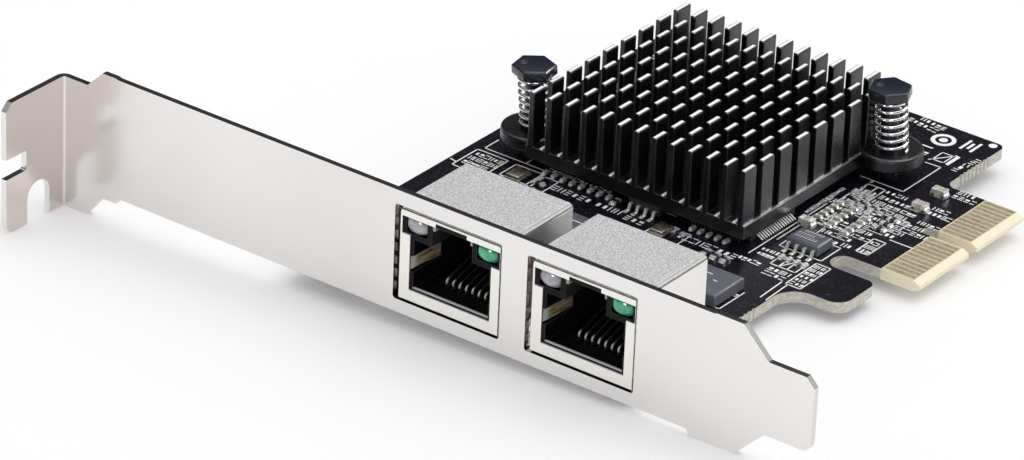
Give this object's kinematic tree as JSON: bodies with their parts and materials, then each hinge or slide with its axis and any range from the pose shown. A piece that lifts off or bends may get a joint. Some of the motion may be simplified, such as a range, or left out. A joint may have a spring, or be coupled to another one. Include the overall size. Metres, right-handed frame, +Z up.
{
  "type": "network interface card",
  "caption": "Plug-in network adapter: folded slot bracket with network sockets, circuit board with keyed edge connector, and a pin-fin heat sink held by sprung push pins.",
  "frame": {"origin": "centre of the card's bounding box at its lowest point, the lower edge of the bracket's neck and screw flange", "axes": "+X along the bracket from its screw flange to its tail, +Y from the bracket back along the board, +Z up from the component side"},
  "size_m": [0.12, 0.099, 0.0216],
  "materials": {
    "nickel_steel": "bright nickel plating on folded steel",
    "screw_steel": "zinc plated",
    "solder_mask": "dark blue-black solder mask over glass-epoxy laminate",
    "gold_contact": "hard gold plating",
    "black_anodised": "black anodised extrusion, cut tips bare",
    "tin_shell": "satin tin plating",
    "black_moulding": "moulded glass-filled plastic",
    "contact_wire": "gold-plated spring wire",
    "tinned_lead": "tinned copper",
    "clear_lens": "clear moulded light guide",
    "green_lens": "green moulded light guide",
    "slate_moulding": "slate moulding compound",
    "chip_moulding": "black moulding compound",
    "silicone_pad": "soft grey silicone pad",
    "pin_plastic": "black nylon",
    "spring_steel": "bright spring wire",
    "ceramic_tan": "fired ceramic, tinned ends",
    "resistor_black": "glazed film on ceramic, tinned ends",
    "ferrite": "moulded ferrite",
    "crystal_can": "plated lid on a ceramic base"
  },
  "bodies": {
    "root": {"bracket": "nickel_steel", "board_screws": "screw_steel", "circuit_board": "solder_mask", "edge_contacts": "gold_contact", "heat_sink": "black_anodised", "magnetic_leads": "tinned_lead", "bridge_chip": "chip_moulding", "bridge_chip_leads": "tinned_lead", "memory_chip": "chip_moulding", "memory_chip_leads": "tinned_lead", "regulator_chip": "chip_moulding", "regulator_chip_leads": "tinned_lead", "small_capacitors": "ceramic_tan", "bulk_capacitors": "ceramic_tan", "resistors": "resistor_black", "power_inductors": "ferrite", "bridge_pad": "silicone_pad", "jack_shield_1": "tin_shell", "jack_springs_1": "tin_shell", "jack_housing_1": "black_moulding", "jack_contacts_1": "contact_wire", "jack_legs_1": "tinned_lead", "clear_lamp_1": "clear_lens", "green_lamp_1": "green_lens", "magnetics_1": "slate_moulding", "push_pin_1": "pin_plastic", "pin_spring_1": "spring_steel", "controller_chip_1": "chip_moulding", "controller_pad_1": "silicone_pad", "crystal_1": "crystal_can", "jack_shield_2": "tin_shell", "jack_springs_2": "tin_shell", "jack_housing_2": "black_moulding", "jack_contacts_2": "contact_wire", "jack_legs_2": "tinned_lead", "clear_lamp_2": "clear_lens", "green_lamp_2": "green_lens", "magnetics_2": "slate_moulding", "push_pin_2": "pin_plastic", "pin_spring_2": "spring_steel", "controller_chip_2": "chip_moulding", "controller_pad_2": "silicone_pad", "crystal_2": "crystal_can"}
  },
  "joints": []
}
